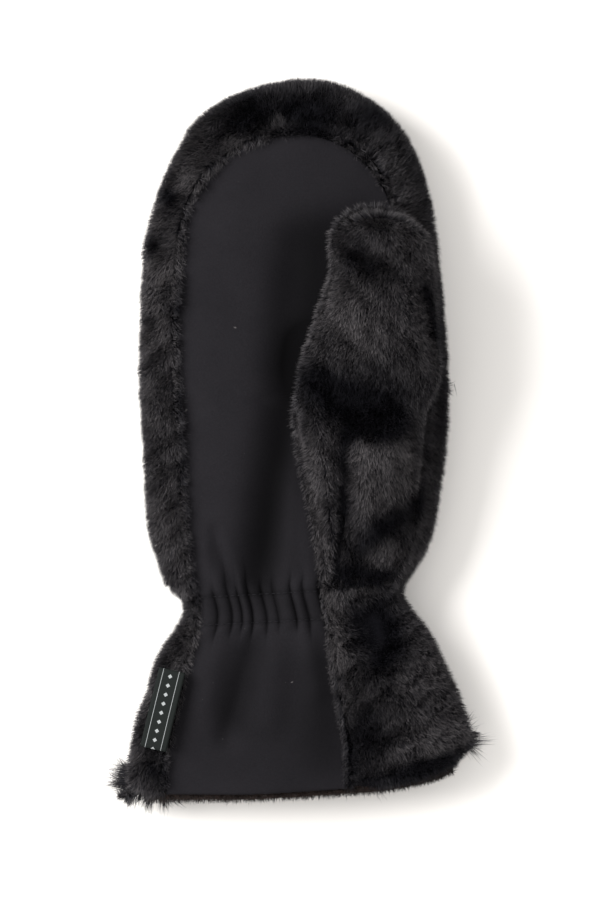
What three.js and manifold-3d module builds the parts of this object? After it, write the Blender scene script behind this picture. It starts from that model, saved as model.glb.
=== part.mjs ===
// A right-hand fur mitten lying palm up: a smooth palm panel gathered at the wrist, a deep-pile fur
// back that wraps round the fingertips and the sides, a fur thumb folded over the palm, a plush
// lining at the mouth of the cuff and a small label in the side seam.
// Millimetres, +Z up, +Y towards the fingertips, +X towards the thumb. The mitten rests on z = 0.

import * as THREE from "three";
import { mergeVertices } from "three/addons/utils/BufferGeometryUtils.js";
import Module from "manifold-3d";

const wasm = await Module();
wasm.setup();

// Overall sizes of the mitten, measured over the tips of the pile.
const LENGTH = 286;
const HAND_WIDTH = 126;
const WRIST_WIDTH = 89;
const CUFF_WIDTH = 143;
const HAND_HEIGHT = 35;
const DOME_LENGTH = 67;
const ORIGIN_SHARE = 0.489; // share of the length from the hem to the origin
const SIDE_SEAM_HEIGHT = 15;
const WRIST_SHARE = 0.267; // share of the length from the hem to the narrowest place

// Cloth and pile.
const PILE = 7;
const PRESSED_PILE = 4.4; // pile between the backing and the table
const PRESS = 1.6; // pile that the table flattens
const WALL = 2.6; // backing or softshell with its lining
const GAP = 0.3;

// Roundness of the sections: 2 is an ellipse, more is boxier.
const FUR_POWER = 2.9;
const PANEL_POWER = 2.5;
const UNDERSIDE_POWER = 3.4;
const THUMB_POWER = 2.3;
const DOME_POWER = 3;
const THUMB_DOME_POWER = 2.6;

// Palm panel.
const RIM_WIDTH = 17; // fur that shows beside the panel
const TIP_RIM = 23; // fur that shows beyond the panel's arch
const PANEL_TIP_OFFSET = 1.5; // the arch's top lies this far towards the thumb
const FUR_TIP_OFFSET = 5;

// Gathers at the wrist.
const GATHER_PITCH = 4.7;
const GATHER_DEPTH = 1.25;
const GATHER_BAND = 8; // height of the elastic casing
const GATHER_FADE = 9;
const CUFF_FOLD_PITCH = 17;
const CUFF_FOLD_DEPTH = 1.3;
const CUFF_FOLD_SLANT = 0.16; // the folds drift sideways by this share of their run
const CASING_RISE = 1; // the casing's middle lies this far above the narrowest place

// The hem and the wrist line climb towards the thumb side.
const HEM_RISE = 18.5;
const WRIST_RISE = 5.5;
const RISE_FADE_SHARE = 0.13; // share of the length over which the climb fades above the wrist
const HEM_STEP = 0.12; // share of the hem's rise at its middle, the rest lies at the thumb side
const HEM_CURL = 8; // how sharply the hem turns up at the thumb side

// Thumb.
const THUMB_LENGTH = 154; // from the wrist to the tip, the gusset included
const THUMB_WIDTH = 48;
const THUMB_TOP = 56;
const THUMB_UNDERSIDE = 27.5;
const THUMB_DOME = 16;
const THUMB_ACROSS = 30; // the thumb's axis from the mitten's axis
const CROTCH_SHARE = 0.545; // share of the mitten's length
const CROTCH_SLOPE = 5; // the crotch climbs towards the side seam
const GUSSET_START_SHARE = 0.012; // share of the mitten's length from the wrist to the gusset
const GUSSET_EDGE = 9; // fur left beside the gusset
const THUMB_FLOOR = 4; // cloth and pressed pile under the free thumb
const THUMB_TIP_OFFSET = -3;

// Locks of fur on the outer form.
const LOCK_LENGTH = 24;
const LOCK_WIDTH = 17;
const LOCK_RELIEF = 2.2;
const LOCK_SINK = 0.4; // share of the relief by which the valleys between locks lie deeper
const TUFT_RADIUS = 2.3;
const TUFT_LENGTH = 8;
const TUFT_ROOT = 6; // part of a tuft inside the fur
const TUFT_SIDES = 5;

// Lining and label.
const LINING_DEPTH = 38;
const LINING_WALL = 1.5;
const LINING_GAP = 0.6; // between the lining and the shell
const LINING_SHOWS = 1.6; // how far it stands out of the mouth
const LABEL_LENGTH = 32;
const LABEL_WIDTH = 10.5;
const LABEL_THICKNESS = 0.9;
const LABEL_SHARE = 0.12; // share of the mitten's length, at the label's middle

// Rows of values with named columns.
const table = (columns, rows) =>
  rows.map((row) => Object.fromEntries(columns.map((name, i) => [name, row[i]])));

// Sections of the hand and cuff. Edges are shares of half the named width, top is a share of the
// hand's height, lift of the pile, rim of the rim width, seam (the panel's thumb-side edge below
// the crotch) of half the named width.
const SECTIONS = table(
  ["along", "width", "left", "right", "top", "lift", "pile", "rim", "seam"],
  [
    [0.0, CUFF_WIDTH, 0.957, 1.024, 0.84, 0, 1, 1.0, 0.285],
    [0.067, CUFF_WIDTH, 0.94, 0.968, 0.9, 0, 1, 0.98, 0.28],
    [0.134, CUFF_WIDTH, 0.862, 0.873, 0.93, 0, 1, 0.92, 0.222],
    [0.2, CUFF_WIDTH, 0.772, 0.761, 0.91, 0.1, 0.95, 0.81, 0.189],
    [0.242, CUFF_WIDTH, 0.66, 0.655, 0.86, 0.3, 0.75, 0.58, 0.161],
    [0.267, WRIST_WIDTH, 1.005, 0.982, 0.83, 0.42, 0.62, 0.38, 0.214],
    [0.29, HAND_WIDTH, 0.838, 0.762, 0.87, 0.25, 0.8, 0.74, 0.141],
    [0.32, HAND_WIDTH, 0.876, 0.832, 0.93, 0.08, 0.95, 0.8, 0.138],
    [0.36, HAND_WIDTH, 0.94, 0.889, 0.97, 0, 1, 0.98, 0.127],
    [0.42, HAND_WIDTH, 0.965, 0.933, 1.0, 0, 1, 0.99, 0.076],
    [0.5, HAND_WIDTH, 0.984, 0.978, 1.01, 0, 1, 1.0, 0.016],
    [0.58, HAND_WIDTH, 1.003, 0.984, 1.0, 0, 1, 0.99, 0.01],
    [0.66, HAND_WIDTH, 0.997, 0.965, 1.0, 0, 1, 0.91, 0.01],
    [0.765, HAND_WIDTH, 0.978, 0.921, 0.98, 0, 1, 1.0, 0.01],
  ],
);

// The fingertips' outline against an ellipse, at shares of the dome's length.
const DOME_FULLNESS = table(
  ["along", "left", "right"],
  [
    [0.0, 1.0, 1.0],
    [0.24, 0.96, 0.985],
    [0.48, 0.955, 0.99],
    [0.6, 0.965, 1.015],
    [0.72, 1.02, 1.02],
    [0.84, 1.045, 1.01],
    [1.0, 1.0, 0.95],
  ],
);

// Sections of the thumb from the wrist up. Edges are shares of half the thumb's width, hug is how
// far the outer edge follows the hand's side, top and under are shares of the thumb's heights.
const THUMB_SECTIONS = table(
  ["along", "left", "right", "hug", "top", "under"],
  [
    [0.0, -0.8, 0.53, 1, 0.46, 0.3],
    [0.07, -0.88, 0.78, 1, 0.6, 0.3],
    [0.136, -0.92, 0.97, 1, 0.71, 0.3],
    [0.208, -0.98, 1.1, 1, 0.8, 0.3],
    [0.305, -1.1, 1.22, 1, 0.88, 0.3],
    [0.372, -1.18, 1.28, 1, 0.91, 0.3],
    [0.436, -1.23, 1.32, 1, 0.925, 0.42],
    [0.48, -1.24, 1.31, 0.8, 0.92, 0.72],
    [0.515, -1.22, 1.3, 0.3, 0.92, 0.95],
    [0.58, -1.13, 1.28, 0, 0.95, 1.0],
    [0.667, -0.98, 1.24, 0, 0.98, 1.0],
    [0.731, -0.85, 1.2, 0, 1.0, 1.0],
    [0.777, -0.74, 1.17, 0, 1.0, 1.0],
    [0.84, -0.62, 1.13, 0, 1.0, 1.0],
    [0.897, -0.67, 1.08, 0, 0.98, 1.0],
  ],
);

// Dents seen on the palm side, each a soft oval hollow. Places are shares of half the hand's width
// and of the length from the origin, reach of the hand's width, depth of the pile.
const BODY_DENTS = table(
  ["name", "x", "y", "across", "along", "turn", "depth", "cloth"],
  [
    ["under the thumb", 0.5, 0.17, 0.3, 0.34, 0, 0.42, true],
    ["beside the thumb", -0.02, 0.0, 0.075, 0.36, -0.22, 0.34, true],
    ["palm above the wrist", -0.22, -0.16, 0.06, 0.2, -0.1, 0.28, true],
    ["cuff middle fold", -0.36, -0.32, 0.055, 0.19, -0.3, 0.42, true],
    ["cuff fur pocket", 0.5, -0.26, 0.085, 0.11, 0.55, 0.6, false],
    ["cuff fur hollow low", 0.42, -0.4, 0.14, 0.1, 0.2, 0.35, false],
    ["rim dent upper", -0.83, 0.338, 0.09, 0.05, 0.3, 0.34, false],
    ["rim dent lower", -0.89, 0.28, 0.09, 0.05, 0.2, 0.36, false],
    ["rim dent middle", -0.92, 0.12, 0.09, 0.08, 0, 0.22, false],
    ["fingertip hollow", -0.05, 0.47, 0.2, 0.05, 0, 0.25, false],
    ["left of the fingertips", -0.55, 0.44, 0.09, 0.09, -0.5, 0.3, false],
  ],
);
const THUMB_DENTS = table(
  ["name", "x", "y", "across", "along", "turn", "depth"],
  [
    ["crease across the thumb", 0.5, 0.058, 0.27, 0.09, -0.1, 1.05],
    ["gusset valley", 0.3, -0.08, 0.035, 0.28, 0.12, 0.95],
    ["slanting hollow", 0.66, -0.1, 0.09, 0.17, -0.75, 0.6],
    ["pocket at the wrist", 0.5, -0.182, 0.17, 0.06, 0, 0.9],
    ["below the tip", 0.42, 0.265, 0.1, 0.07, -0.6, 0.5],
    ["valley along the outer side", 0.876, 0.16, 0.03, 0.2, 0.25, 0.6],
  ],
);

// Tufts that stand out of the fur: places as shares of half the cuff's width and of the length
// from the hem, heading in degrees from +X.
const TUFTS = table(
  ["name", "x", "along", "heading", "spread", "count", "length"],
  [
    ["left hem corner", -0.93, 0.006, 205, 95, 5, 1.0],
    ["left side above the hem", -0.93, 0.035, 150, 40, 3, 0.7],
    ["hem beside the label seam", -0.76, 0.002, 285, 60, 4, 0.7],
    ["hem at the thumb-side seam", 0.34, 0.012, 272, 50, 3, 0.8],
    ["hem past the seam", 0.48, 0.02, 305, 40, 3, 0.9],
    ["right hem corner", 0.98, 0.024, 5, 70, 4, 0.9],
    ["right hem", 0.8, 0.036, 295, 60, 4, 0.6],
  ],
);

// Fineness of the surfaces: points round a section, spacing of the sections, rings in a dome.
const GRID = {
  fur: { top: 8, side: 9, bottom: 6, coarse: 7.4, fine: 5.4, dome: 9 },
  panel: { left: 5, top: 34, right: 9, bottom: 3, coarse: 12, fine: 3.5, dome: 6 },
  cavity: { top: 8, side: 4, bottom: 5, coarse: 18, fine: 7, dome: 5 },
  thumb: { top: 10, side: 6, bottom: 4, rows: 20, dome: 5 },
  thumbHollow: { top: 6, side: 4, bottom: 4, rows: 9, dome: 5 },
  outline: { coarse: 9, fine: 5, arch: 12 },
  gusset: 14,
  label: { rows: 6, columns: 3 },
};

const hemY = -ORIGIN_SHARE * LENGTH;
const tipY = hemY + LENGTH;
const domeY = tipY - DOME_LENGTH;
const wristY = hemY + WRIST_SHARE * LENGTH;
const crotchY = hemY + CROTCH_SHARE * LENGTH;
const gussetEndY = wristY + GUSSET_START_SHARE * LENGTH;
const thumbTipY = gussetEndY + THUMB_LENGTH;
const thumbDomeY = thumbTipY - THUMB_DOME;

// Helpers for smooth values.
const clamp = (v, lo, hi) => Math.min(hi, Math.max(lo, v));
const smooth = (lo, hi, v) => THREE.MathUtils.smoothstep(v, lo, hi);
const mix = (a, b, t) => a + (b - a) * t;
const bell = (v) => Math.exp(-v * v);
const boxed = (v, power) => Math.sign(v) * Math.abs(v) ** (2 / power);

// A smooth curve through one value of each row of a table.
function through(rows, pick, along) {
  const last = rows.length - 1;
  const a = clamp(along, rows[0].along, rows[last].along);
  let k = 0;
  while (k < last - 1 && rows[k + 1].along < a) k++;
  const slope = (i) => {
    const lo = Math.max(0, i - 1);
    const hi = Math.min(last, i + 1);
    return (pick(rows[hi]) - pick(rows[lo])) / (rows[hi].along - rows[lo].along);
  };
  const span = rows[k + 1].along - rows[k].along;
  const t = (a - rows[k].along) / span;
  const t2 = t * t;
  const t3 = t2 * t;
  return (
    (2 * t3 - 3 * t2 + 1) * pick(rows[k]) +
    (t3 - 2 * t2 + t) * span * slope(k) +
    (3 * t2 - 2 * t3) * pick(rows[k + 1]) +
    (t3 - t2) * span * slope(k + 1)
  );
}

// The mitten's section at a station along its length, measured over the pile.
function sectionAt(y) {
  const along = (y - hemY) / LENGTH;
  const half = (key) => (row) => (row.width / 2) * row[key];
  return {
    left: -through(SECTIONS, half("left"), along),
    right: through(SECTIONS, half("right"), along),
    crown: HAND_HEIGHT * through(SECTIONS, (row) => row.top, along),
    lift: PILE * through(SECTIONS, (row) => row.lift, along),
    pile: through(SECTIONS, (row) => row.pile, along),
    rim: RIM_WIDTH * through(SECTIONS, (row) => row.rim, along),
    seam: through(SECTIONS, half("seam"), along),
  };
}

// How far a point of the section at y climbs, from the left side (0) to the thumb side (1).
function climb(y, across) {
  const u = clamp(across, 0, 1);
  const wristward = clamp((y - hemY) / (wristY - hemY), 0, 1);
  const reach = 1 - smooth(wristY, wristY + RISE_FADE_SHARE * LENGTH, y);
  const atHem = HEM_STEP * smooth(0.3, 0.7, u) + (1 - HEM_STEP) * u ** HEM_CURL;
  const rise = mix(HEM_RISE, WRIST_RISE, wristward) * reach;
  return rise * mix(atHem, u, wristward);
}

// Sum of the soft hollows at a point of the palm side.
function hollow(dents, x, y) {
  let sum = 0;
  for (const d of dents) {
    const dx = x - (d.x * HAND_WIDTH) / 2;
    const dy = y - d.y * LENGTH;
    const c = Math.cos(d.turn);
    const s = Math.sin(d.turn);
    const u = (dx * c + dy * s) / (d.across * HAND_WIDTH);
    const v = (dy * c - dx * s) / (d.along * HAND_WIDTH);
    sum += d.depth * PILE * bell(Math.hypot(u, v));
  }
  return sum;
}

// Overlapping rows of locks, each standing proud at its free end.
function locks(across, along) {
  const row = along / LOCK_LENGTH;
  const shift = Math.floor(row) * 0.5 + 0.17 * Math.sin(Math.floor(row) * 2.4);
  const column = across / LOCK_WIDTH + shift;
  const side = Math.cos(Math.PI * (column - Math.round(column)));
  const fall = 1 - (row - Math.floor(row));
  const sway = 0.75 + 0.25 * Math.sin(Math.round(column) * 1.9 + Math.floor(row) * 3.1);
  return LOCK_RELIEF * sway * side * side * Math.sin(Math.PI * clamp(fall * 1.15, 0, 1));
}

// Narrow ribs of the elastic casing, fanning out above and below it, then broad cuff folds.
function gathers(x, y, section) {
  const fan = (section.right - section.left) / WRIST_WIDTH;
  const place = x / mix(1, fan, 0.75);
  const off = Math.abs(y - wristY - CASING_RISE) - GATHER_BAND / 2;
  const band = 1 - smooth(0, GATHER_FADE, off);
  const ribs = 0.5 + 0.5 * Math.cos((2 * Math.PI * place) / GATHER_PITCH);
  const below = smooth(0, 0.06, (wristY - y) / LENGTH) * smooth(-0.02, 0.15, (y - hemY) / LENGTH);
  const slant = (x / fan - CUFF_FOLD_SLANT * (wristY - y)) / CUFF_FOLD_PITCH;
  const folds = 0.5 + 0.5 * Math.cos(2 * Math.PI * slant);
  return GATHER_DEPTH * ribs * band + CUFF_FOLD_DEPTH * folds * below;
}

// A closed surface through rings of points, its first and last ring closed by a fan.
function loft(rings) {
  const n = rings[0].length;
  const points = rings.flat();
  const faces = [];
  for (let r = 0; r + 1 < rings.length; r++) {
    for (let c = 0; c < n; c++) {
      const a = r * n + c;
      const b = r * n + ((c + 1) % n);
      faces.push(a, b, a + n, b, b + n, a + n);
    }
  }
  const fan = (first, forward) => {
    const middle = new THREE.Vector3();
    for (let c = 0; c < n; c++) middle.addScaledVector(points[first + c], 1 / n);
    points.push(middle);
    const m = points.length - 1;
    for (let c = 0; c < n; c++) {
      const a = first + c;
      const b = first + ((c + 1) % n);
      if (forward) faces.push(m, a, b);
      else faces.push(m, b, a);
    }
  };
  fan(0, false);
  fan((rings.length - 1) * n, true);
  return new wasm.Manifold(
    new wasm.Mesh({
      numProp: 3,
      vertProperties: new Float32Array(points.flatMap((p) => [p.x, p.y, p.z])),
      triVerts: new Uint32Array(faces),
    }),
  );
}

function solidOf(geometry) {
  geometry.deleteAttribute("normal");
  geometry.deleteAttribute("uv");
  const g = mergeVertices(geometry, 1e-4);
  return new wasm.Manifold(
    new wasm.Mesh({
      numProp: 3,
      vertProperties: new Float32Array(g.getAttribute("position").array),
      triVerts: new Uint32Array(g.index.array),
    }),
  );
}

// An upright prism over an outline on the table.
function prism(outline, from, to) {
  const shape = new THREE.Shape(outline);
  const geometry = new THREE.ExtrudeGeometry(shape, { depth: to - from, bevelEnabled: false });
  return solidOf(geometry.translate(0, 0, from));
}

// The outline moved inwards by a distance.
function shrunk(outline, by) {
  const n = outline.length;
  return outline.map((p, i) => {
    const a = outline[(i + n - 1) % n];
    const b = outline[(i + 1) % n];
    const run = new THREE.Vector2(b.x - a.x, b.y - a.y).normalize();
    return new THREE.Vector2(p.x - run.y * by, p.y + run.x * by);
  });
}

// Places round a section, as shares of a turn from the left side over the top.
const spread = (from, to, count) =>
  Array.from({ length: count }, (_, i) => mix(from, to, i / count));
const SHOULDER = 0.3; // share of a turn where the side becomes the top
function around(grid) {
  return [
    ...spread(0, SHOULDER, grid.side),
    ...spread(SHOULDER, 1 - SHOULDER, grid.top),
    ...spread(1 - SHOULDER, 1, grid.side),
    ...spread(1, 2, grid.bottom),
  ];
}

// A layer of the mitten: how far it lies inside the pile, its crown and its floor.
const PANEL_DROP = 0.5 * PILE; // the panel lies this far below the crown of the fur
const FUR = { inset: 0, drop: 0, floor: -PRESS, power: FUR_POWER };
const PANEL = { inset: PILE, drop: PANEL_DROP, floor: PRESSED_PILE, power: PANEL_POWER };
const CAVITY = {
  inset: PILE + WALL,
  drop: PANEL_DROP + WALL,
  floor: PRESSED_PILE + WALL,
  power: PANEL_POWER,
};
const grown = (layer, by) => ({
  ...layer,
  inset: layer.inset - by,
  drop: layer.drop - by,
  floor: layer.floor - by,
});

const DOME_MOST = 0.9995; // a dome's ring never closes to a point
const THINNEST = 0.35; // share of an inset that is left where the pile is shortest

// The ring of a layer at station y. Ends past the dome's start close towards the fingertips.
function ring(layer, y, turns, relief) {
  const s = sectionAt(Math.min(y, domeY));
  const thin = Math.min(1, mix(THINNEST, 1, s.pile));
  const inset = layer.inset * thin;
  const t = clamp((y - domeY) / (DOME_LENGTH - layer.inset), 0, DOME_MOST);
  const round = Math.sqrt(1 - t * t);
  const leftFull = round * through(DOME_FULLNESS, (row) => row.left, t);
  const rightFull = round * through(DOME_FULLNESS, (row) => row.right, t);
  const left = mix(FUR_TIP_OFFSET * smooth(0, 1, t), s.left + inset, leftFull);
  const right = mix(FUR_TIP_OFFSET * smooth(0, 1, t), s.right - inset, rightFull);
  const tall = (1 - t ** DOME_POWER) ** (1 / DOME_POWER);
  const seamHeight = SIDE_SEAM_HEIGHT + 0.5 * s.lift;
  const up = (s.crown - layer.drop * thin - seamHeight) * tall;
  const down = (seamHeight - s.lift - layer.floor * thin) * tall;
  const middle = (left + right) / 2;
  const half = (right - left) / 2;
  return turns.map((turn) => {
    const angle = Math.PI * turn;
    const power = turn > 1 ? UNDERSIDE_POWER : layer.power;
    const across = -boxed(Math.cos(angle), power);
    const high = boxed(Math.sin(angle), power);
    const x = middle + half * across;
    const rise = climb(y, (x - s.left) / (s.right - s.left));
    const p = new THREE.Vector3(x, y + rise, seamHeight + (high > 0 ? up : down) * high);
    return relief(p, { section: s, across, high, turn, station: y, tall });
  });
}

// Stations along the mitten, closer together where the wrist is gathered.
const FINE_BELOW_SHARE = 0.05;
const FINE_ABOVE_SHARE = 0.055;
function stations(from, grid) {
  const fineFrom = wristY - FINE_BELOW_SHARE * LENGTH;
  const fineTo = wristY + FINE_ABOVE_SHARE * LENGTH;
  const run = (lo, hi, step) => spread(lo, hi, Math.max(1, Math.round((hi - lo) / step)));
  return [
    ...run(from, fineFrom, grid.coarse),
    ...run(fineFrom, fineTo, grid.fine),
    ...run(fineTo, domeY, grid.coarse),
  ];
}
const DOME_EASE = 0.9;
const DOME_END = 0.9985; // the last ring lies this share along a dome, and is closed by a fan
function domeStations(layer, count) {
  const reach = DOME_LENGTH - layer.inset;
  const list = spread(0, 1, count).map((t) => domeY + reach * Math.sin((Math.PI / 2) * t ** DOME_EASE));
  return [...list, domeY + reach * DOME_END];
}

const CLOTH_DENTS = BODY_DENTS.filter((d) => d.cloth);
const cavityRelief = (p, at) => {
  if (at.high > 0) p.z -= hollow(CLOTH_DENTS, p.x, p.y) * at.high * at.tall;
  return p;
};
const panelRelief = (p, at) => {
  if (at.high > 0) {
    cavityRelief(p, at);
    p.z += gathers(p.x, at.station, at.section) * at.high ** 3;
  }
  return p;
};

// The fur's outer form: rolled in at the hem, pressed flat where it rests, locks everywhere else.
function furRelief(grow) {
  return (p, at) => {
    const upper = Math.max(0, at.high);
    const side = at.across < 0 ? -1 : 1;
    const roundIt = smooth(-0.9, 0.1, at.high) * smooth(0, 0.02, (at.station - hemY) / LENGTH);
    const girth = at.turn * 0.5 * (HAND_WIDTH + HAND_HEIGHT);
    const lock = (locks(girth, tipY - at.station) - LOCK_SINK * LOCK_RELIEF) * roundIt;
    const swell = lock - hollow(BODY_DENTS, p.x, p.y) * upper ** 0.7 * at.tall;
    p.z += swell * Math.abs(at.high);
    p.x += side * Math.max(0, lock) * 0.5 * (1 - Math.abs(at.high));
    p.z = Math.max(p.z, -grow);
    return p;
  };
}

function layerSolid(layer, turns, rows, dome, relief) {
  const all = [...rows, ...domeStations(layer, dome)];
  return loft(all.map((y) => ring(layer, y, turns, relief)));
}

// Rings of the rolled hem: how far each lies above the hem and how far it is tucked in.
const HEM_ROLL = table(
  ["out", "tuck"],
  [
    [0, 4.2],
    [1.6, 1.4],
  ],
);
const HEM_ROLL_END = 5.5;
function furSolid(grow) {
  const layer = grown(FUR, grow);
  const turns = around(GRID.fur);
  const relief = furRelief(grow);
  const rolled = HEM_ROLL.map((r) => {
    const tucked = {
      ...layer,
      inset: layer.inset + r.tuck,
      drop: layer.drop + r.tuck,
      floor: layer.floor + r.tuck / 2,
    };
    return ring(tucked, hemY - grow + r.out, turns, relief);
  });
  const rows = [...stations(hemY + HEM_ROLL_END, GRID.fur), ...domeStations(layer, GRID.fur.dome)];
  return loft([...rolled, ...rows.map((y) => ring(layer, y, turns, relief))]);
}

// The panel's skin is finest over the gathers.
const GATHERS_FROM = 0.2;
const GATHERS_TO = 0.58;
const HEM_FOLD = 1; // the panel's hem lies this far above the mouth of the fur
function panelSolid(grow) {
  const turns = [
    ...spread(0, GATHERS_FROM, GRID.panel.left),
    ...spread(GATHERS_FROM, GATHERS_TO, GRID.panel.top),
    ...spread(GATHERS_TO, 1, GRID.panel.right),
    ...spread(1, 2, GRID.panel.bottom),
  ];
  const rows = stations(hemY + HEM_FOLD, GRID.panel);
  return layerSolid(grown(PANEL, grow), turns, rows, GRID.panel.dome, panelRelief);
}

const MOUTH_RUN = 12; // the hollow's cutter runs this far past the hem
const cavityRows = [hemY - MOUTH_RUN, ...stations(hemY, GRID.cavity)];
const cavityTurns = around(GRID.cavity);
function cavitySolid() {
  return layerSolid(CAVITY, cavityTurns, cavityRows, GRID.cavity.dome, cavityRelief);
}

const PANEL_UNDER_GUSSET = 9; // the panel runs on this far under the gusset's edge

// The panel's outline on the table, from the hem up the left side, round the arch and down.
function panelEdge(y, side) {
  const s = sectionAt(Math.min(y, domeY));
  const t = clamp((y - domeY) / (DOME_LENGTH - TIP_RIM), 0, 1);
  const arch = Math.sqrt(1 - t * t);
  const left = s.left + s.rim;
  if (side < 0) return mix(PANEL_TIP_OFFSET, left, arch);
  const upper = mix(PANEL_TIP_OFFSET, s.right - s.rim, arch);
  const behind = smooth(gussetEndY + 2, gussetEndY + 14, y) * PANEL_UNDER_GUSSET;
  const crossing = smooth(crotchY - 16, crotchY - 6, y);
  return mix(s.seam + behind, upper, crossing);
}
function panelOutline() {
  const list = [];
  const push = (y, side) => {
    const s = sectionAt(Math.min(y, domeY));
    const x = panelEdge(y, side);
    list.push(new THREE.Vector2(x, y + climb(y, (x - s.left) / (s.right - s.left))));
  };
  const rows = [hemY - MOUTH_RUN - HEM_FOLD, ...stations(hemY, GRID.outline)];
  const arch = spread(0, Math.PI / 2, GRID.outline.arch).map(
    (angle) => domeY + (DOME_LENGTH - TIP_RIM) * Math.sin(angle),
  );
  const all = [...rows, ...arch];
  for (const y of all.slice().reverse()) push(y, -1);
  for (const y of all) push(y, 1);
  list.push(new THREE.Vector2(PANEL_TIP_OFFSET, tipY - TIP_RIM));
  return list;
}

// The thumb's section at a station: its edges, its top and its underside.
function thumbAt(y) {
  const along = (y - gussetEndY) / THUMB_LENGTH;
  const share = (key) => through(THUMB_SECTIONS, (row) => row[key], along);
  const hand = sectionAt(Math.min(y, domeY));
  const free = THUMB_ACROSS + (share("right") * THUMB_WIDTH) / 2;
  const held = hand.right - GUSSET_EDGE;
  return {
    left: THUMB_ACROSS + (share("left") * THUMB_WIDTH) / 2,
    right: mix(free, Math.min(free, held), clamp(share("hug"), 0, 1)),
    top: THUMB_TOP * share("top"),
    under: THUMB_UNDERSIDE * share("under"),
  };
}

// Outline of the gusset on the table.
function gussetOutline() {
  const list = [];
  const count = GRID.gusset;
  const ends = (side, i) => {
    const y = mix(gussetEndY, crotchY, i / count);
    const s = sectionAt(y);
    const x = side < 0 ? thumbAt(y).left : s.right - GUSSET_EDGE;
    const slope = side > 0 ? CROTCH_SLOPE * (i / count) : 0;
    return new THREE.Vector2(x, y + slope + climb(y, (x - s.left) / (s.right - s.left)));
  };
  for (let i = count; i >= 0; i--) list.push(ends(-1, i));
  for (let i = 0; i <= count; i++) list.push(ends(1, i));
  return list;
}

// The thumb's outer form, or with a wall its hollow, from a station up.
const HOLLOW_DENT = 0.3; // share of a dent that shows inside
const HOLLOW_TIP = 0.6; // share of the wall by which the hollow's tip lies back
const WAIST = 0.46; // share of the thumb's height where it is widest
function thumbSolid(wall, from) {
  const grid = wall > 0 ? GRID.thumbHollow : GRID.thumb;
  const turns = around(grid);
  const reach = THUMB_DOME - wall * HOLLOW_TIP;
  const rows = [
    ...spread(from, thumbDomeY, grid.rows + 1),
    ...spread(0, Math.PI / 2, grid.dome).map((angle) => thumbDomeY + reach * Math.sin(angle)),
    thumbDomeY + reach * DOME_END,
  ];
  const rings = rows.map((y) => {
    const s = thumbAt(Math.min(y, thumbDomeY));
    const t = clamp((y - thumbDomeY) / reach, 0, DOME_MOST);
    const round = Math.sqrt(1 - t * t);
    const tall = (1 - t ** THUMB_DOME_POWER) ** (1 / THUMB_DOME_POWER);
    const lean = THUMB_TIP_OFFSET * t * t;
    const middle = (s.left + s.right) / 2 + lean;
    const half = ((s.right - s.left) / 2 - wall) * round;
    const high = s.top - wall;
    const centre = mix(s.under, s.top, WAIST);
    return turns.map((turn) => {
      const a = Math.PI * turn;
      const across = -boxed(Math.cos(a), THUMB_POWER);
      const up = boxed(Math.sin(a), THUMB_POWER);
      const x = middle + half * across;
      const rise = up > 0 ? high - centre : centre - s.under;
      const p = new THREE.Vector3(x, y, centre + rise * up * tall);
      const upper = clamp(up + 0.35, 0, 1);
      const dent = hollow(THUMB_DENTS, p.x, p.y) * upper * (wall > 0 ? HOLLOW_DENT : 1);
      const girth = turn * 0.5 * (THUMB_WIDTH + THUMB_TOP - THUMB_UNDERSIDE);
      const lock = wall > 0 ? 0 : locks(girth, thumbTipY - y) - LOCK_SINK * LOCK_RELIEF;
      p.z += (lock - dent) * Math.abs(up);
      p.x += wall > 0 ? 0 : Math.sign(across) * lock * 0.5 * (1 - Math.abs(up)) * round;
      return p;
    });
  });
  return loft(rings);
}

// Pointed tufts of hairs fused to the fur, at scattered heights.
const GOLDEN = 0.618;
function tuftSolids() {
  const made = [];
  for (const t of TUFTS) {
    const y0 = hemY + t.along * LENGTH;
    const s = sectionAt(y0);
    const x = (t.x * CUFF_WIDTH) / 2;
    const foot = new THREE.Vector3(x, y0 + climb(y0, (x - s.left) / (s.right - s.left)), 0);
    for (let i = 0; i < t.count; i++) {
      const share = t.count > 1 ? i / (t.count - 1) - 0.5 : 0;
      const heading = THREE.MathUtils.degToRad(t.heading + share * t.spread);
      const height = SIDE_SEAM_HEIGHT * (0.55 + 0.75 * ((i * GOLDEN) % 1));
      const length = TUFT_LENGTH * t.length * (0.75 + 0.5 * ((i * GOLDEN * GOLDEN) % 1));
      const cone = new THREE.ConeGeometry(TUFT_RADIUS, length + TUFT_ROOT, TUFT_SIDES);
      cone.translate(0, (length - TUFT_ROOT) / 2, 0);
      cone.rotateZ(heading - Math.PI / 2);
      cone.translate(foot.x, foot.y, height);
      made.push(solidOf(cone));
    }
  }
  return made;
}

// The largest body of a cut form, without the crumbs of the cut.
function largest(solid) {
  const bodies = solid.decompose();
  return bodies.reduce((most, body) => (body.volume() > most.volume() ? body : most));
}

// Pieces of the solid model.
const cavity = cavitySolid();
const outline = panelOutline();
const gusset = gussetOutline();
const TALL = 3 * HAND_HEIGHT;
const windowPrism = prism(outline, SIDE_SEAM_HEIGHT, TALL);
const panelPrism = prism(shrunk(outline, GAP), SIDE_SEAM_HEIGHT, TALL);
const gussetPrism = prism(gusset, SIDE_SEAM_HEIGHT, TALL);
const gussetInner = prism(shrunk(gusset, GAP), SIDE_SEAM_HEIGHT + GAP, TALL);

const furForm = furSolid(0);
const panel = panelSolid(0).subtract(cavity).intersect(panelPrism).subtract(gussetPrism);
const fur = tuftSolids()
  .reduce((sum, tuft) => sum.add(tuft), furForm)
  .subtract(cavity)
  .subtract(windowPrism)
  .subtract(gussetPrism);

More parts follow.
